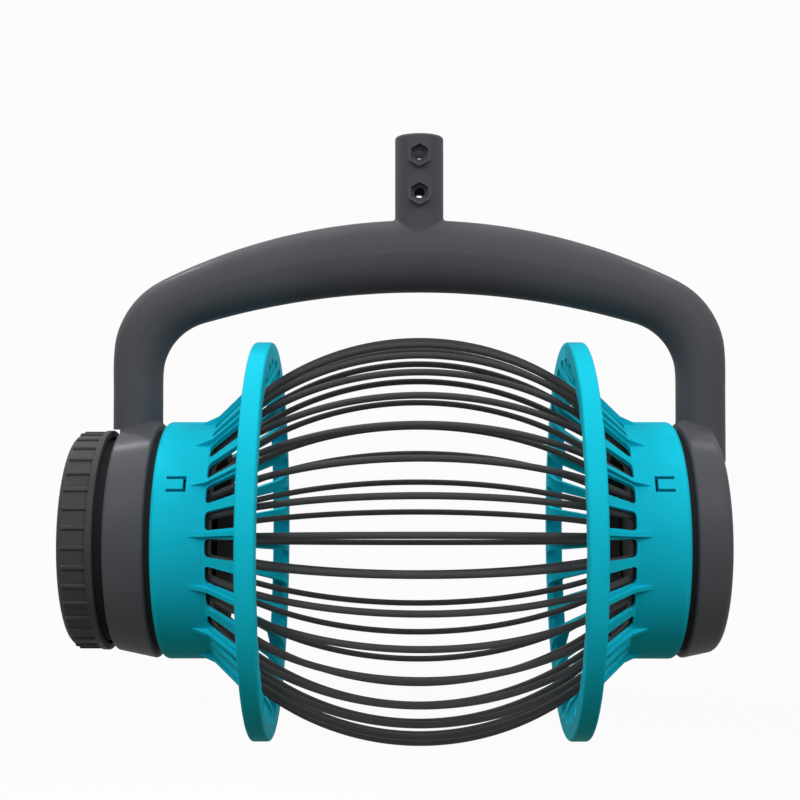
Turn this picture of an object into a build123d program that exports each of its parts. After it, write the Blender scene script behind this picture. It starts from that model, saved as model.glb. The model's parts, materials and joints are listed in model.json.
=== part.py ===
from build123d import *
import os
from math import asin, cos, degrees, radians, sin, sqrt, tan

# Rolling nut collector head, in millimetres.
# X runs along the roller axis with the screw cap at -X, Z runs up along the pole,
# and the origin is the middle of the pole socket's mouth.
# Pieces are drawn about the roller axis and lowered to their place when they are saved.
# Angles round the roller start at the front, -Y, and rise towards +Z.

# Rod cage
cage_r = 100.0            # outside of the rods at the crown
rod_d = 3.2
rod_count = 36
rod_bend_r = 128.7        # bend of a rod's centre line
rod_end_x = 102.0         # where a rod ends inside its ring
rod_start_angle = 5.0
rod_fit = 0.12            # round and behind a rod in its socket

# Flanged hubs
rim_r = 97.8
rim_width = 9.0
rim_wall = 2.6
rim_round = 1.3
flange_x = 72.0           # face of the flange towards the cage
disc_wall = 3.0
bell_r = 18.5             # rounding from the flange's face into the flare
flare_angle = 44.0
flare_wall = 2.1
rod_gap = 0.4             # between the rods and the flare
hub_r = 58.3
hub_end_x = 124.6
hub_end_round = 3.0
hub_wall = 3.7
slot_count = 30
slot_inner_w = 8.3
slot_outer_w = 11.8
slot_outer_r = 90.0
slot_outer_round = 4.0
slot_end_x = 98.9         # where the slots stop, short of the hub's barrel
slot_end_round = 2.2
fin_count = 15
fin_wall = 2.0
fin_height = 1.8
fin_knee_x = 98.0
fin_tip_x = 106.5
fin_start_angle = 6.0
tongue_count = 3
tongue_start_angle = 30.0
tongue_tip_x = 108.5
tongue_length = 9.2
tongue_w = 5.1
tongue_slit = 1.5
hook_depth = 1.1
hook_length = 1.4

# Rod rings
ring_front_x = 97.5
ring_back_x = 106.0
ring_bore_r = 44.0
ring_round = 1.0
ring_wall_left = 3.0      # of the hub's barrel outside the ring
ring_fit = 0.1

# Journals
journal_gap = 0.3         # running gap between a hub and its journal
end_gap = 1.0             # running gap between a rod ring and a journal
groove_depth = 1.5
groove_length = 2.9
spout_bore_r = 46.0
spout_mouth_r = 49.5
spout_round = 0.8         # edges of the journals and the neck
spigot_r = 50.5
spigot_fit = 0.1
plug_wall = 3.0

# Yoke
collar_x = 127.5          # inner face of a collar
collar_width = 19.6
collar_inner_r = 58.1
collar_outer_r = 54.0
collar_inner_round = 1.2
collar_outer_round = 1.6
closed_width = 17.0       # of the collar that is closed
closed_outer_r = 54.5
closed_end_round = 5.0
closed_end_wall = 4.0
leg_x = 139.8
leg_d = 24.4
leg_foot_z = 15.0         # inside the collars
left_foot_z = 54.5        # end of the left leg beyond its collar
right_foot_z = 32.0       # end of the right leg beyond its collar
right_foot_slope = 45.0
leg_root_round = 2.5
rotor_gap = 1.0           # between a hub and a leg's root
bow_top_z = 158.9
bow_under_z = 122.8
bow_top_r = 288.0
bow_under_r = 383.0
bow_depth = 30.0
shoulder_outer_r = 43.0
shoulder_inner_r = 27.5
bow_steps = 8             # sections in each stretch of the bow
leg_lean = 80.0           # turn of the sections from the bow into the leg
pick_margin = 0.1         # when an edge is picked by its place

# Pole socket
socket_top_z = 200.6      # above the roller axis
socket_d = 24.1
socket_round = 1.5
socket_root_round = 1.6
pole_bore_d = 19.2
pole_bore_depth = 41.0
bolt_d = 5.2
bolt_count = 2
bolt_spacing = 19.0
upper_bolt_depth = 10.7   # below the socket's mouth
nut_flats = 8.2
nut_boss_flats = 11.4
nut_boss_round = 2.4
nut_boss_height = 3.1     # proud of the socket
nut_pocket_depth = 3.4
back_pad_d = 10.5
back_pad_height = 1.5

# Screw cap and neck
neck_r = 49.4
neck_end_x = 163.2
cap_start_x = 151.7
cap_end_x = 168.9
cap_end_wall = 2.5
cap_bore_r = 51.0
cap_r = 52.5
cap_end_round = 4.0
lip_r = 54.0
lip_width = 3.1
lip_round = 0.5
rib_count = 36
rib_start_angle = 9.8
rib_w = 2.2
rib_height = 1.0
rib_round = 0.8           # along a rib's crest
rib_end_x = 166.5
friction_ring_w = 4.0
friction_ring_fit = 0.1

# Worked-out sizes
crown_r = cage_r - rod_d / 2
arc_drop = rod_bend_r - crown_r
rod_half_angle = degrees(asin(rod_end_x / rod_bend_r))
flare_in = rod_bend_r + rod_d / 2 + rod_gap
flare_out = flare_in + flare_wall
flange_back_x = flange_x + disc_wall
rim_back_x = flange_x + rim_width
hub_bore_r = hub_r - hub_wall
ring_r = hub_r - ring_wall_left
journal_r = hub_bore_r - journal_gap
journal_end_x = ring_back_x + end_gap
hook_x = tongue_tip_x + tongue_slit
groove_x = hook_x + hook_length / 2 - groove_length / 2
collar_end_x = collar_x + collar_width
collar_bore_r = spigot_r + spigot_fit
closed_end_x = collar_x + closed_width
plug_end_x = closed_end_x - closed_end_wall
boss_y = -socket_d / 2 - nut_boss_height
pad_y = socket_d / 2 + back_pad_height
bolt_heights = [socket_top_z - upper_bolt_depth - bolt_spacing * i for i in range(bolt_count)]
cap_inside_x = cap_end_x - cap_end_wall

ROLLER_AXIS = Axis.X
ROD_ARC_AXIS = Axis((0, -arc_drop, 0), (0, 0, -1))


def profile(corners):
    """Closed face in the XY plane from (x, r, corner radius)."""
    face = make_face(Polyline(*[(x, r) for x, r, _ in corners], close=True))
    for x, r, radius in corners:
        if radius > 0:
            face = fillet(face.vertices().sort_by_distance((x, r, 0))[0], radius)
    return face


def turned(corners):
    """Solid of revolution about the roller axis."""
    return revolve(profile(corners), ROLLER_AXIS)


def around(shape, angle):
    """Turns a shape drawn towards +Y to its angle round the roller."""
    return Rot(180 - angle, 0, 0) * shape


def pattern(shape, count, start_angle):
    """Copies of a shape spaced evenly round the roller."""
    return [around(shape, start_angle + 360 * i / count) for i in range(count)]


def flare_r(x, offset):
    """Radius at x on the cone that lies offset from the centre of the rods' bend."""
    return (offset - sin(radians(flare_angle)) * x) / cos(radians(flare_angle)) - arc_drop


def flare_x(r, offset):
    """Place along the axis where that cone has radius r."""
    return (offset - cos(radians(flare_angle)) * (r + arc_drop)) / sin(radians(flare_angle))


def rod_tube(radius, from_angle, to_angle):
    """Length of a bent rod, by angles of its bend measured from the crown towards +X."""
    section = Plane(origin=(0, crown_r, 0), z_dir=(1, 0, 0)) * Circle(radius)
    section = section.rotate(ROD_ARC_AXIS, from_angle)
    return revolve(section, ROD_ARC_AXIS, to_angle - from_angle)


def make_hub():
    """Teal flange, drawn for the right end."""
    hub = turned([
        (hub_end_x, hub_bore_r, 0),
        (hub_end_x, hub_r, hub_end_round),
        (flare_x(hub_r, flare_out), hub_r, 0),
        (flange_back_x, flare_r(flange_back_x, flare_out), bell_r - flare_wall),
        (flange_back_x, rim_r - rim_wall, 0),
        (rim_back_x, rim_r - rim_wall, 0),
        (rim_back_x, rim_r, rim_round),
        (flange_x, rim_r, rim_round),
        (flange_x, flare_r(flange_x, flare_in), bell_r),
        (flare_x(ring_r, flare_in), ring_r, 0),
        (ring_back_x, ring_r, 0),
        (ring_back_x, hub_bore_r, 0),
    ])
    slot_start_x = flange_x - disc_wall
    slot = Plane.YZ.offset(slot_start_x) * profile([
        (ring_r, -slot_inner_w / 2, 0),
        (slot_outer_r, -slot_outer_w / 2, slot_outer_round),
        (slot_outer_r, slot_outer_w / 2, slot_outer_round),
        (ring_r, slot_inner_w / 2, 0),
    ])
    slot = extrude(slot, slot_end_x - slot_start_x)
    slot_end_sides = slot.edges().group_by(Axis.X)[-1].sort_by(SortBy.LENGTH)[-2:]
    slot = fillet(slot_end_sides, slot_end_round)
    hub -= pattern(slot, slot_count, 0)

    fin_offset = flare_out + fin_height
    fin = profile([
        (fin_tip_x, hub_r, 0),
        (fin_knee_x, flare_r(fin_knee_x, fin_offset), 0),
        (rim_back_x, flare_r(rim_back_x, fin_offset), 0),
        (rim_back_x - rim_round, rim_r - rim_wall / 2, 0),
        (flange_x + disc_wall / 2, rim_r - rim_wall / 2, 0),
        (flange_x + disc_wall / 2, flare_r(flange_x, flare_out), 0),
        (flare_x(hub_r, flare_out) - flare_wall / 2, hub_r - flare_wall / 2, 0),
        (fin_tip_x, hub_r - flare_wall / 2, 0),
    ])
    fin = extrude(fin, fin_wall / 2, both=True)
    hub += pattern(fin, fin_count, fin_start_angle)

    slit_w = tongue_w + 2 * tongue_slit
    slit_depth = 4 * hub_wall
    slit = Pos(tongue_tip_x + tongue_length / 2, hub_r, 0) * Box(tongue_length, slit_depth, slit_w)
    root_x = hook_x + tongue_length / 2
    slit -= Pos(root_x, hub_r, 0) * Box(tongue_length, slit_depth, tongue_w)
    hub -= pattern(slit, tongue_count, tongue_start_angle)
    hook = Pos(hook_x + hook_length / 2, hub_bore_r, 0) * Box(hook_length, 2 * hook_depth, tongue_w)
    hub += pattern(hook, tongue_count, tongue_start_angle)
    return hub


def make_rod_ring():
    """Ring inside a hub with a socket for each rod, drawn for the right end."""
    ring = turned([
        (ring_front_x, ring_bore_r, ring_round),
        (ring_front_x, ring_r - ring_fit, 0),
        (ring_back_x, ring_r - ring_fit, 0),
        (ring_back_x, ring_bore_r, 0),
    ])
    socket_angle = rod_half_angle + degrees(rod_fit / rod_bend_r)
    socket = rod_tube(rod_d / 2 + rod_fit, 0, socket_angle)
    return ring - pattern(socket, rod_count, rod_start_angle)


def journal_corners():
    """Outside of a journal, from its cage end to the collar's face."""
    return [
        (journal_end_x, journal_r, spout_round),
        (groove_x, journal_r, 0),
        (groove_x, journal_r - groove_depth, 0),
        (groove_x + groove_length, journal_r - groove_depth, 0),
        (groove_x + groove_length, journal_r, 0),
        (collar_x, journal_r, 0),
        (collar_x, spigot_r, 0),
    ]


def make_spout():
    """Journal and outlet in one tube, drawn for the right end."""
    return turned([
        (journal_end_x, spout_mouth_r, 0),
        *journal_corners(),
        (collar_end_x, spigot_r, 0),
        (collar_end_x, neck_r, 0),
        (neck_end_x, neck_r, spout_round),
        (neck_end_x, spout_bore_r, spout_round),
        (collar_x, spout_bore_r, 0),
    ])


def make_plug():
    """Closed journal of the right end."""
    return turned([
        (journal_end_x, 0, 0),
        *journal_corners(),
        (plug_end_x, spigot_r, 0),
        (plug_end_x, spigot_r - plug_wall, 0),
        (journal_end_x + plug_wall, spigot_r - plug_wall, 0),
        (journal_end_x + plug_wall, 0, 0),
    ])


def bow_height(x):
    """Heights of the bow's top and underside at x."""
    top = bow_top_z - bow_top_r + sqrt(bow_top_r ** 2 - x ** 2)
    under = bow_under_z - bow_under_r + sqrt(bow_under_r ** 2 - x ** 2)
    return top, under


def shoulder_centre(arc_z, arc_r, corner_r, leg_side_x):
    """Centre of a corner that runs from an arc over the middle into the leg's side."""
    x = leg_side_x - corner_r
    return x, arc_z - arc_r + sqrt((arc_r - corner_r) ** 2 - x ** 2)


def ray_to_arc(start, turn, centre, radius):
    """Where a ray, turned from +Z towards +X, leaves a circle."""
    step_x, step_z = sin(radians(turn)), cos(radians(turn))
    from_x, from_z = start[0] - centre[0], start[1] - centre[1]
    along = from_x * step_x + from_z * step_z
    reach = sqrt(along ** 2 - from_x ** 2 - from_z ** 2 + radius ** 2) - along
    return start[0] + reach * step_x, start[1] + reach * step_z


def bow_outlines():
    """Outer and inner points of the right half, from past the middle to the foot of the leg."""
    leg_out = leg_x + leg_d / 2
    leg_in = leg_x - leg_d / 2
    outer = shoulder_centre(bow_top_z, bow_top_r, shoulder_outer_r, leg_out)
    inner = shoulder_centre(bow_under_z, bow_under_r, shoulder_inner_r, leg_in)
    outer_from_x = outer[0] * bow_top_r / (bow_top_r - shoulder_outer_r)
    inner_from_x = inner[0] * bow_under_r / (bow_under_r - shoulder_inner_r)
    pairs = []
    for i in range(-1, bow_steps):
        x = inner[0] * i / bow_steps
        top, under = bow_height(x)
        pairs.append(((x, top), (x, under)))
    for i in range(bow_steps + 1):
        turn = leg_lean * i / bow_steps
        under = ray_to_arc(inner, turn, (0, bow_under_z - bow_under_r), bow_under_r)
        if under[0] > inner_from_x:
            under = ray_to_arc(inner, turn, inner, shoulder_inner_r)
        top = ray_to_arc(inner, turn, (0, bow_top_z - bow_top_r), bow_top_r)
        if top[0] > outer_from_x:
            top = ray_to_arc(inner, turn, outer, shoulder_outer_r)
        if top[1] < outer[1]:
            top = leg_out, inner[1] + (leg_out - inner[0]) / tan(radians(turn))
        pairs.append((top, under))
    rise = (leg_d / 2) / tan(radians(leg_lean))
    for i in range(1, bow_steps + 1):
        z = inner[1] + (leg_foot_z - inner[1]) * i / bow_steps
        pairs.append(((leg_out, z + rise), (leg_in, z - rise)))
    return pairs


def oval(top, under, depth):
    """Oval face between two points of the XZ plane, with its depth along Y."""
    top = Vector(top[0], 0, top[1])
    under = Vector(under[0], 0, under[1])
    span = top - under
    plane = Plane((top + under) / 2, x_dir=span, z_dir=span.cross(Vector(0, 1, 0)))
    half = span.length / 2
    quarters = [EllipticalCenterArc((0, 0), half, depth / 2, turn, arc_size=90) for turn in (0, 90, 180, 270)]
    return plane * make_face(quarters)


def make_bow():
    """Bow and legs as one oval tube, lofted for the right half and mirrored."""
    sections = []
    for i, (top, under) in enumerate(bow_outlines(), start=-1):
        share = min(abs(i) / (2 * bow_steps), 1)
        ease = share ** 2 * (3 - 2 * share)
        sections.append(oval(top, under, bow_depth + (leg_d - bow_depth) * ease))
    right = split(loft(sections), Plane.YZ, keep=Keep.TOP)
    return right + mirror(right, Plane.YZ)


def make_collar(end_x, end_r, end_round):
    """Collar of one end before its bore is cut, drawn for the right."""
    return turned([
        (collar_x, 0, 0),
        (collar_x, collar_inner_r, collar_inner_round),
        (end_x, end_r, end_round),
        (end_x, 0, 0),
    ])


def bar(from_x, to_x, r):
    """Cylinder on the roller axis."""
    return Pos((from_x + to_x) / 2, 0, 0) * Rot(0, 90, 0) * Cylinder(r, to_x - from_x)


def foot_cut(end_x, foot_z, slope):
    """What a leg loses beyond its collar, drawn for the right: all below a line that rises outwards."""
    far_x = end_x + leg_d
    face = make_face(Plane.XZ * Polyline(
        (end_x, foot_z),
        (far_x, foot_z + leg_d * tan(radians(slope))),
        (far_x, -leg_d),
        (end_x, -leg_d),
        close=True,
    ))
    return extrude(face, leg_d, both=True)


def is_leg_root(edge):
    """True for an edge where a leg runs into the outside of its collar."""
    middle = edge.center()
    on_collar = collar_x < abs(middle.X) < collar_end_x
    return on_collar and middle.Z > 0 and sqrt(middle.Y ** 2 + middle.Z ** 2) < collar_inner_r + pick_margin


def hexagon(flats):
    """Nut-shaped face with a corner at the top."""
    return RegularPolygon(flats / 2, 6, major_radius=False, rotation=30)


def facing_back(y, z):
    """Plane across a bolt hole that faces the back."""
    return Plane(origin=(0, y, z), x_dir=(1, 0, 0), z_dir=(0, 1, 0))


def is_socket_root(edge):
    """True for an edge where the socket stands on the bow."""
    if not bow_under_z < edge.center().Z < bow_top_z:
        return False
    reaches = [sqrt(end.X ** 2 + end.Y ** 2) for end in edge.vertices()]
    return all(abs(reach - socket_d / 2) < pick_margin for reach in reaches)


def add_socket(yoke):
    """Pole socket on the middle of the bow, with bosses, nut pockets and holes for the bolts."""
    foot_z = (bow_top_z + bow_under_z) / 2
    length = socket_top_z - foot_z
    socket = Pos(0, 0, foot_z + length / 2) * Cylinder(socket_d / 2, length)
    yoke += fillet(socket.edges().sort_by(Axis.Z)[-1], socket_round)
    yoke = fillet(yoke.edges().filter_by(is_socket_root), socket_root_round)
    boss = fillet(hexagon(nut_boss_flats).vertices(), nut_boss_round)
    for z in bolt_heights:
        yoke += extrude(facing_back(boss_y, z) * boss, -boss_y)
        yoke += extrude(facing_back(0, z) * Circle(back_pad_d / 2), pad_y)
    yoke -= Pos(0, 0, socket_top_z - pole_bore_depth / 2) * Cylinder(pole_bore_d / 2, pole_bore_depth)
    for z in bolt_heights:
        yoke -= extrude(facing_back(boss_y, z) * hexagon(nut_flats), nut_pocket_depth)
        yoke -= extrude(facing_back(boss_y, z) * Circle(bolt_d / 2), pad_y - boss_y)
    return yoke


def make_yoke():
    """Bow, legs, collars and pole socket in one moulding."""
    yoke = make_bow()
    yoke -= foot_cut(closed_end_x, right_foot_z, right_foot_slope)
    yoke -= mirror(foot_cut(collar_end_x, left_foot_z, 0), Plane.YZ)
    yoke += make_collar(closed_end_x, closed_outer_r, closed_end_round)
    yoke += mirror(make_collar(collar_end_x, collar_outer_r, collar_outer_round), Plane.YZ)
    leg_roots = yoke.edges().filter_by(GeomType.BSPLINE).filter_by(is_leg_root)
    yoke = fillet(leg_roots, leg_root_round)
    yoke -= bar(-collar_x, collar_x, hub_r + rotor_gap)
    yoke -= bar(-collar_end_x, plug_end_x, collar_bore_r)
    return add_socket(yoke)


def make_cap():
    """Ribbed screw cap, drawn for the right end."""
    cap = turned([
        (cap_start_x, cap_bore_r, 0),
        (cap_start_x, lip_r, lip_round),
        (cap_start_x + lip_width, lip_r, lip_round),
        (cap_start_x + lip_width, cap_r, 0),
        (cap_end_x, cap_r, cap_end_round),
        (cap_end_x, 0, 0),
        (cap_inside_x, 0, 0),
        (cap_inside_x, cap_bore_r, 0),
    ])
    rib_start_x = cap_start_x + lip_width / 2
    rib_base_r = (cap_r + cap_bore_r) / 2
    rib = profile([
        (rib_start_x, rib_base_r, 0),
        (rib_start_x, cap_r + rib_height, 0),
        (rib_end_x, cap_r + rib_height, rib_height),
        (rib_end_x, rib_base_r, 0),
    ])
    rib = extrude(rib, rib_w / 2, both=True)
    rib = fillet(rib.edges().filter_by(Axis.X).sort_by(Axis.Y)[-2:], rib_round)
    # The turned body's seam lies between two ribs, and the ribbed cap is then turned to its place.
    seam_gap = 180 / rib_count
    cap += pattern(rib, rib_count, seam_gap)
    return Rot(seam_gap - rib_start_angle, 0, 0) * cap


def make_friction_ring():
    """Soft ring between the neck's end and the cap's end wall, drawn for the right end."""
    outer_r = cap_bore_r - friction_ring_fit
    inner_r = outer_r - friction_ring_w
    return turned([
        (neck_end_x, inner_r, 0),
        (neck_end_x, outer_r, 0),
        (cap_inside_x, outer_r, 0),
        (cap_inside_x, inner_r, 0),
    ])


def save(name, shape):
    """Lowers a piece to its place under the pole socket and writes it."""
    export_step(Pos(0, 0, -socket_top_z) * shape, f"parts/{name}.step")


os.makedirs("parts", exist_ok=True)
hub = make_hub()
save("right_hub", hub)
save("left_hub", mirror(hub, Plane.YZ))
rod_ring = make_rod_ring()
save("right_wire_ring", rod_ring)
save("left_wire_ring", mirror(rod_ring, Plane.YZ))
rod = rod_tube(rod_d / 2, -rod_half_angle, rod_half_angle)
for number, wire in enumerate(pattern(rod, rod_count, rod_start_angle), start=1):
    save(f"wire_{number:02d}", wire)
save("outlet_spout", mirror(make_spout(), Plane.YZ))
save("journal_plug", make_plug())
save("yoke", make_yoke())
save("end_cap", mirror(make_cap(), Plane.YZ))
save("cap_friction_ring", mirror(make_friction_ring(), Plane.YZ))
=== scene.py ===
import json
import math

import bpy
from mathutils import Matrix, Vector


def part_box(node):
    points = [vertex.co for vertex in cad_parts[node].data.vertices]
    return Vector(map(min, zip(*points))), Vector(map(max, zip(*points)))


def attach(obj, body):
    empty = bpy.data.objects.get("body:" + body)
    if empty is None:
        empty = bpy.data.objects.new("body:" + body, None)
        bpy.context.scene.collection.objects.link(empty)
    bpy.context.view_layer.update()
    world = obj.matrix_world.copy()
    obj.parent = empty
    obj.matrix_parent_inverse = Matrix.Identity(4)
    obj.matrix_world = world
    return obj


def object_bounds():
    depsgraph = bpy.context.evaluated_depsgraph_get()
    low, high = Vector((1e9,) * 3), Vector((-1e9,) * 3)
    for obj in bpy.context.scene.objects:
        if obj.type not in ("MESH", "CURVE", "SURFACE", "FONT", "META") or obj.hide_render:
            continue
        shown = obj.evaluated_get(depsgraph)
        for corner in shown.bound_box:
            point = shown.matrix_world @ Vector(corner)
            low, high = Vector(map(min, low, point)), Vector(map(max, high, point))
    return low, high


# Looks of the rolling nut collector head, in metres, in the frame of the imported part.
# X runs along the roller axis with the screw cap at -X, and the camera stands at -Y.
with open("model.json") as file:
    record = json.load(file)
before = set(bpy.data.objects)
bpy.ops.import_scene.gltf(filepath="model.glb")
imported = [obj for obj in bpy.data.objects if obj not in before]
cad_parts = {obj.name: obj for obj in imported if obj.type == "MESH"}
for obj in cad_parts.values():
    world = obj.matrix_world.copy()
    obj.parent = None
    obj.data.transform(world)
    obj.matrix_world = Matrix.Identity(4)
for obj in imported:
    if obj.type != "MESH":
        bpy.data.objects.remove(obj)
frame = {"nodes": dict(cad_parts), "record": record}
cad_low, cad_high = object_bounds()

# Camera of the photo
IMAGE_SIZE = 800.0
FOCAL_PIXELS = 1455.0
CAMERA_X = -0.0075
CAMERA_Y = -0.7241
CAMERA_ABOVE_AXIS = 0.0506
CAMERA_PITCH = 1.474          # degrees up
CAMERA_YAW = 0.166            # degrees to the left
CLIP_END = 50.0

# Finish of each material slot
FINISHES = {
    "grey_plastic": dict(
        tone=(0.066, 0.067, 0.077), dark_tone=(0.060, 0.061, 0.070),
        roughness=0.74, specular=0.20, coat=0.045, grain_scale=2600.0, grain_depth=0.00004),
    "cap_plastic": dict(
        tone=(0.048, 0.049, 0.052), dark_tone=(0.044, 0.045, 0.048),
        roughness=0.70, specular=0.15, grain_scale=2600.0, grain_depth=0.00004),
    "teal_plastic": dict(
        tone=(0.006, 0.515, 0.68), dark_tone=(0.006, 0.49, 0.65),
        roughness=0.62, specular=0.03, grain_scale=2200.0, grain_depth=0.00002),
    "rod_nylon": dict(
        tone=(0.030, 0.030, 0.031), dark_tone=(0.025, 0.025, 0.026),
        roughness=0.72, specular=0.42, grain_scale=1500.0, grain_depth=0.00003, stretch=(0.08, 1.0, 1.0)),
    "ring_plastic": dict(
        tone=(0.027, 0.028, 0.029), dark_tone=(0.024, 0.025, 0.026),
        roughness=0.8, specular=0.05, grain_scale=2400.0, grain_depth=0.00003),
    "black_rubber": dict(
        tone=(0.020, 0.020, 0.020), dark_tone=(0.015, 0.015, 0.015),
        roughness=0.7, specular=0.3, grain_scale=1800.0, grain_depth=0.00005),
}

# Soft clouding and mould grain that all finishes share
CLOUDS = dict(Scale=45.0, Detail=4.0, Roughness=0.55)
GRAIN = dict(Detail=3.0, Roughness=0.6)
CLOUD_DARK_AT = 0.32          # level of the clouding that has the dark tone
CLOUD_LIGHT_AT = 0.68
ROUGHNESS_SPREAD = 0.05       # either way
GRAIN_STRENGTH = 0.35
COAT_ROUGHNESS = 0.25

# Screw threads on the spout's neck and inside the cap
THREAD_LEAD = 0.006
THREAD_SEGMENTS = 96          # per turn
THREAD_ROOT_W = 0.0024
THREAD_CREST_W = 0.0011
THREAD_SINK = 0.0003          # of a ridge's root into the wall that carries it
THREAD_CORNERS = 4            # of a ridge's section
THREAD_RUN_OUT = 0.08         # share of a ridge that tapers at each end
NECK_R = 0.0494
NECK_CREST_R = 0.0506
NECK_THREAD_FROM = 0.0032     # from the neck's end
NECK_THREAD_TURNS = 1.5
CAP_BORE_R = 0.051
CAP_CREST_R = 0.0498
CAP_THREAD_FROM = 0.0018      # from the cap's lip
CAP_THREAD_TURNS = 1.4

# Floor, backdrop and light from the surroundings
FLOOR_DROP = 0.15             # floor below the cage
FLOOR_R = 12.0
FLOOR_SIDES = 96
FLOOR_PALE = (0.9, 0.9, 0.9, 1.0)            # as it is seen
FLOOR_BOUNCE = (0.10, 0.082, 0.045, 1.0)     # as it lights the object
FLOOR_ROUGHNESS = 0.9
FLOOR_SPECULAR = 0.1
FLOOR_GLOW = 0.82             # share of the backdrop's glow in the floor near the object
FADE_FROM = 0.55              # from the frame's origin, where the floor starts to fade into the backdrop
FADE_TO = 1.5
BACKDROP = (0.975, 0.97, 0.975, 1.0)
SKY_LOW = (0.37, 0.345, 0.31, 1.0)
SKY_LOW_AT = 0.4              # of the way from straight down to straight up
SKY_HIGH = (0.98, 0.97, 0.96, 1.0)
SKY_STRENGTH = 0.62

# Lamps, each with its name, place, side, power in watts and tint
WARM_WHITE = (1.0, 0.98, 0.94)
COOL_WHITE = (0.97, 0.98, 1.0)
BLUE_WHITE = (0.80, 0.90, 1.0)
LAMPS = (
    ("top_lamp", (-0.1, 0.15, 1.2), 0.6, 4.0, WARM_WHITE),
    ("left_back_lamp", (-0.57, 0.46, 0.73), 0.07, 4.6, COOL_WHITE),
    ("right_back_lamp", (0.6, 0.46, 0.75), 0.1, 2.0, COOL_WHITE),
    ("front_lamp", (0.0, -1.2, 0.5), 1.0, 5.8, BLUE_WHITE),
    ("left_lamp", (-0.9, -0.8, 0.65), 0.6, 6.1, WARM_WHITE),
    ("right_lamp", (0.9, -0.8, 0.65), 0.6, 6.4, WARM_WHITE),
)

hub_low, hub_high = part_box("left_hub")
AXIS_Z = (hub_low.z + hub_high.z) / 2


def link(tree, source, output, target, socket):
    """Joins two nodes by the names of their sockets."""
    tree.links.new(source.outputs[output], target.inputs[socket])


def node(tree, kind, **values):
    """Adds a node and sets its input sockets by name, with underscores for spaces."""
    made = tree.nodes.new(kind)
    for name, value in values.items():
        made.inputs[name.replace("_", " ")].default_value = value
    return made


def mix_shaders(tree, share, first, second):
    """Mixes two shaders by the output that gives the share of the second."""
    mix = tree.nodes.new("ShaderNodeMixShader")
    tree.links.new(share, mix.inputs["Fac"])
    tree.links.new(first.outputs[0], mix.inputs[1])
    tree.links.new(second.outputs[0], mix.inputs[2])
    return mix


def set_ramp(ramp, low_at, low, high_at, high):
    """Sets both ends of a colour ramp."""
    for stop, place, colour in zip(ramp.color_ramp.elements, (low_at, high_at), (low, high)):
        stop.position = place
        stop.color = colour


def new_material(name):
    """New material, its node tree and its Principled shader."""
    material = bpy.data.materials.new(name)
    material.use_nodes = True
    tree = material.node_tree
    return material, tree, tree.nodes["Principled BSDF"]


def object_coordinates(tree, stretch):
    """Coordinates that stay with the object, scaled along each axis."""
    coordinates = tree.nodes.new("ShaderNodeTexCoord")
    mapping = node(tree, "ShaderNodeMapping", Scale=stretch)
    link(tree, coordinates, "Object", mapping, "Vector")
    return mapping


def moulded_plastic(name, tone, dark_tone, roughness, specular, grain_scale, grain_depth,
                    coat=0.0, stretch=(1.0, 1.0, 1.0)):
    """Plastic with soft clouding, uneven gloss and the fine grain of its mould."""
    material, tree, shader = new_material(name)
    place = object_coordinates(tree, stretch)
    clouds = node(tree, "ShaderNodeTexNoise", **CLOUDS)
    grain = node(tree, "ShaderNodeTexNoise", Scale=grain_scale, **GRAIN)
    for texture in (clouds, grain):
        link(tree, place, "Vector", texture, "Vector")

    colour = tree.nodes.new("ShaderNodeValToRGB")
    set_ramp(colour, CLOUD_DARK_AT, (*dark_tone, 1.0), CLOUD_LIGHT_AT, (*tone, 1.0))
    link(tree, clouds, "Fac", colour, "Fac")
    link(tree, colour, "Color", shader, "Base Color")

    gloss = node(
        tree, "ShaderNodeMapRange", To_Min=roughness - ROUGHNESS_SPREAD, To_Max=roughness + ROUGHNESS_SPREAD)
    link(tree, grain, "Fac", gloss, "Value")
    link(tree, gloss, "Result", shader, "Roughness")

    bump = node(tree, "ShaderNodeBump", Strength=GRAIN_STRENGTH, Distance=grain_depth)
    link(tree, grain, "Fac", bump, "Height")
    link(tree, bump, "Normal", shader, "Normal")
    shader.inputs["Specular IOR Level"].default_value = specular
    shader.inputs["Coat Weight"].default_value = coat
    shader.inputs["Coat Roughness"].default_value = COAT_ROUGHNESS
    return material


def dress_nodes(materials):
    """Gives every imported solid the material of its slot."""
    slots = {entry["node"]: entry["material_slot"] for entry in frame["record"]["subparts"]}
    for name, solid in frame["nodes"].items():
        solid.data.materials.clear()
        solid.data.materials.append(materials[slots[name]])


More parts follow.
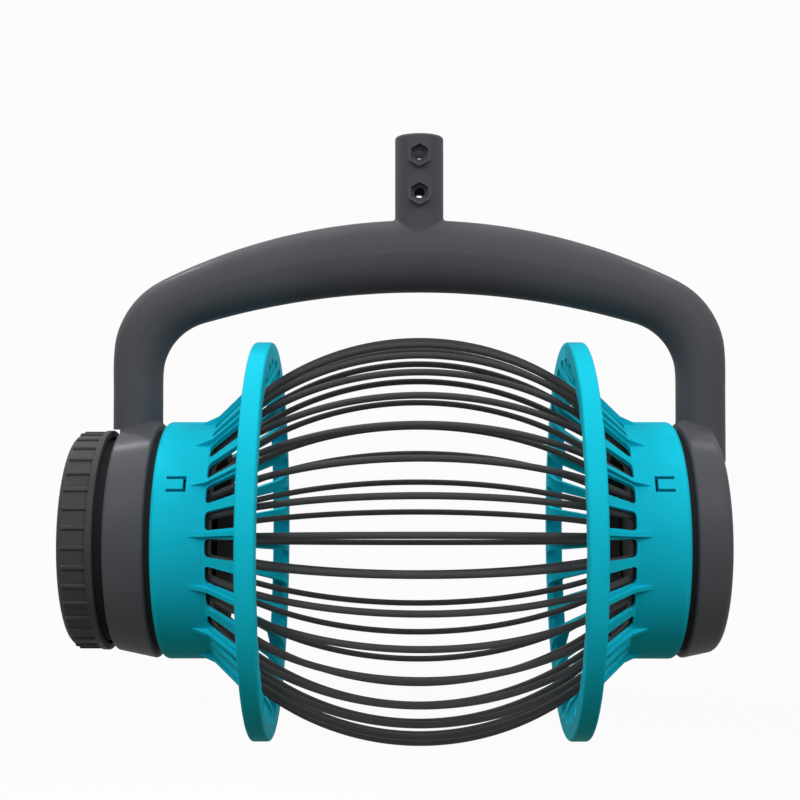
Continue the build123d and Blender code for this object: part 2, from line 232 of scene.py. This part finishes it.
def thread_ridge(name, root_r, crest_r, start_x, turns):
    """Right-hand ridge that runs from start_x towards the cap's end, on a wall of radius root_r."""
    sink = math.copysign(THREAD_SINK, root_r - crest_r)
    steps = int(turns * THREAD_SEGMENTS)
    points = []
    for i in range(steps + 1):
        share = i / steps
        taper = min(1.0, share / THREAD_RUN_OUT, (1.0 - share) / THREAD_RUN_OUT)
        taper = math.sin(taper * math.pi / 2)
        crest = root_r + (crest_r - root_r) * taper
        turn = Matrix.Rotation(2 * math.pi * turns * share, 3, Vector((-1, 0, 0)))
        middle_x = start_x - THREAD_LEAD * turns * share
        section = [
            (THREAD_ROOT_W / 2, root_r + sink),
            (THREAD_CREST_W / 2, crest),
            (-THREAD_CREST_W / 2, crest),
            (-THREAD_ROOT_W / 2, root_r + sink),
        ]
        for along, r in section:
            points.append(turn @ Vector((middle_x + along, 0, r)) + Vector((0, 0, AXIS_Z)))
    faces = []
    for i in range(steps):
        first = THREAD_CORNERS * i
        for k in range(THREAD_CORNERS):
            a = first + k
            b = first + (k + 1) % THREAD_CORNERS
            faces.append((a, b, b + THREAD_CORNERS, a + THREAD_CORNERS))
    corners = range(THREAD_CORNERS)
    last = THREAD_CORNERS * steps
    faces.append(tuple(corners))
    faces.append(tuple(last + k for k in reversed(corners)))
    mesh = bpy.data.meshes.new(name)
    mesh.from_pydata(points, [], faces)
    mesh.validate()
    ridge = bpy.data.objects.new(name, mesh)
    bpy.context.scene.collection.objects.link(ridge)
    return ridge


def make_threads(materials):
    """Threads of the spout's neck and of the cap, half a lead apart."""
    spout_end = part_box("outlet_spout")[0].x
    cap_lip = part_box("end_cap")[1].x
    neck_from = spout_end + NECK_THREAD_FROM + THREAD_LEAD * NECK_THREAD_TURNS
    neck = thread_ridge("neck_thread", NECK_R, NECK_CREST_R, neck_from, NECK_THREAD_TURNS)
    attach(neck, "yoke")
    cap_from = neck_from + THREAD_LEAD / 2
    while cap_from > cap_lip - CAP_THREAD_FROM:
        cap_from -= THREAD_LEAD
    cap = thread_ridge("cap_thread", CAP_BORE_R, CAP_CREST_R, cap_from, CAP_THREAD_TURNS)
    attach(cap, "end_cap")
    for ridge, slot in ((neck, "ring_plastic"), (cap, "cap_plastic")):
        ridge.data.materials.append(materials[slot])


def make_camera():
    """Camera at the photo's viewing angle."""
    data = bpy.data.cameras.new("camera")
    data.sensor_fit = "HORIZONTAL"
    data.angle = 2 * math.atan(IMAGE_SIZE / 2 / FOCAL_PIXELS)
    data.clip_end = CLIP_END
    camera = bpy.data.objects.new("camera", data)
    camera.location = (CAMERA_X, CAMERA_Y, AXIS_Z + CAMERA_ABOVE_AXIS)
    camera.rotation_euler = (math.radians(90 + CAMERA_PITCH), 0.0, math.radians(CAMERA_YAW))
    bpy.context.scene.collection.objects.link(camera)
    bpy.context.scene.camera = camera


def seen_directly(tree):
    """One for camera, mirror and glass rays, and zero for the light that reaches the object."""
    path = tree.nodes.new("ShaderNodeLightPath")
    total = path.outputs["Is Camera Ray"]
    for name in ("Is Glossy Ray", "Is Transmission Ray"):
        either = tree.nodes.new("ShaderNodeMath")
        either.operation = "MAXIMUM"
        tree.links.new(total, either.inputs[0])
        tree.links.new(path.outputs[name], either.inputs[1])
        total = either.outputs[0]
    return total


def make_world():
    """Soft studio light, brighter from above, in front of a plain pale backdrop."""
    world = bpy.data.worlds.new("studio")
    bpy.context.scene.world = world
    world.use_nodes = True
    tree = world.node_tree
    tree.nodes.clear()
    place = tree.nodes.new("ShaderNodeTexCoord")
    parts = tree.nodes.new("ShaderNodeSeparateXYZ")
    link(tree, place, "Generated", parts, "Vector")
    height = node(tree, "ShaderNodeMapRange", From_Min=-1.0, From_Max=1.0)
    link(tree, parts, "Z", height, "Value")
    sky = tree.nodes.new("ShaderNodeValToRGB")
    set_ramp(sky, SKY_LOW_AT, SKY_LOW, 1.0, SKY_HIGH)
    link(tree, height, "Result", sky, "Fac")
    light = node(tree, "ShaderNodeBackground", Strength=SKY_STRENGTH)
    link(tree, sky, "Color", light, "Color")
    backdrop = node(tree, "ShaderNodeBackground", Color=BACKDROP, Strength=1.0)
    mix = mix_shaders(tree, seen_directly(tree), light, backdrop)
    output = tree.nodes.new("ShaderNodeOutputWorld")
    link(tree, mix, "Shader", output, "Surface")


def fade_out(tree):
    """Share of glow in the floor, which grows with the distance from the frame's origin."""
    place = tree.nodes.new("ShaderNodeTexCoord")
    distance = tree.nodes.new("ShaderNodeVectorMath")
    distance.operation = "LENGTH"
    link(tree, place, "Object", distance, "Vector")
    fade = node(
        tree, "ShaderNodeMapRange", From_Min=FADE_FROM, From_Max=FADE_TO, To_Min=FLOOR_GLOW, To_Max=1.0)
    fade.interpolation_type = "SMOOTHSTEP"
    link(tree, distance, "Value", fade, "Value")
    return fade.outputs["Result"]


def make_floor():
    """Plain pale floor well below the held-up head, which keeps a soft shadow."""
    z = cad_low.z - FLOOR_DROP
    points = []
    for i in range(FLOOR_SIDES):
        turn = 2 * math.pi * i / FLOOR_SIDES
        points.append((FLOOR_R * math.cos(turn), FLOOR_R * math.sin(turn), z))
    mesh = bpy.data.meshes.new("floor")
    mesh.from_pydata(points, [], [tuple(range(FLOOR_SIDES))])
    floor = bpy.data.objects.new("floor", mesh)
    bpy.context.scene.collection.objects.link(floor)
    material, tree, bounce = new_material("floor")
    bounce.inputs["Base Color"].default_value = FLOOR_BOUNCE
    bounce.inputs["Roughness"].default_value = FLOOR_ROUGHNESS
    bounce.inputs["Specular IOR Level"].default_value = FLOOR_SPECULAR
    pale = node(tree, "ShaderNodeBsdfDiffuse", Color=FLOOR_PALE)
    glow = node(tree, "ShaderNodeEmission", Color=BACKDROP, Strength=1.0)
    seen = mix_shaders(tree, fade_out(tree), pale, glow)
    mix = mix_shaders(tree, seen_directly(tree), bounce, seen)
    link(tree, mix, "Shader", tree.nodes["Material Output"], "Surface")
    mesh.materials.append(material)


def make_lamp(name, place, side, power, tint):
    """Soft square lamp that looks at the middle of the roller."""
    data = bpy.data.lights.new(name, "AREA")
    data.size = side
    data.energy = power
    data.color = tint
    lamp = bpy.data.objects.new(name, data)
    lamp.location = place
    towards = Vector((0, 0, AXIS_Z)) - lamp.location
    lamp.rotation_euler = towards.to_track_quat("-Z", "Y").to_euler()
    bpy.context.scene.collection.objects.link(lamp)


materials = {name: moulded_plastic(name, **finish) for name, finish in FINISHES.items()}
dress_nodes(materials)
make_threads(materials)
make_camera()
make_world()
make_floor()
for lamp in LAMPS:
    make_lamp(*lamp)
bpy.context.scene.view_settings.view_transform = "Standard"
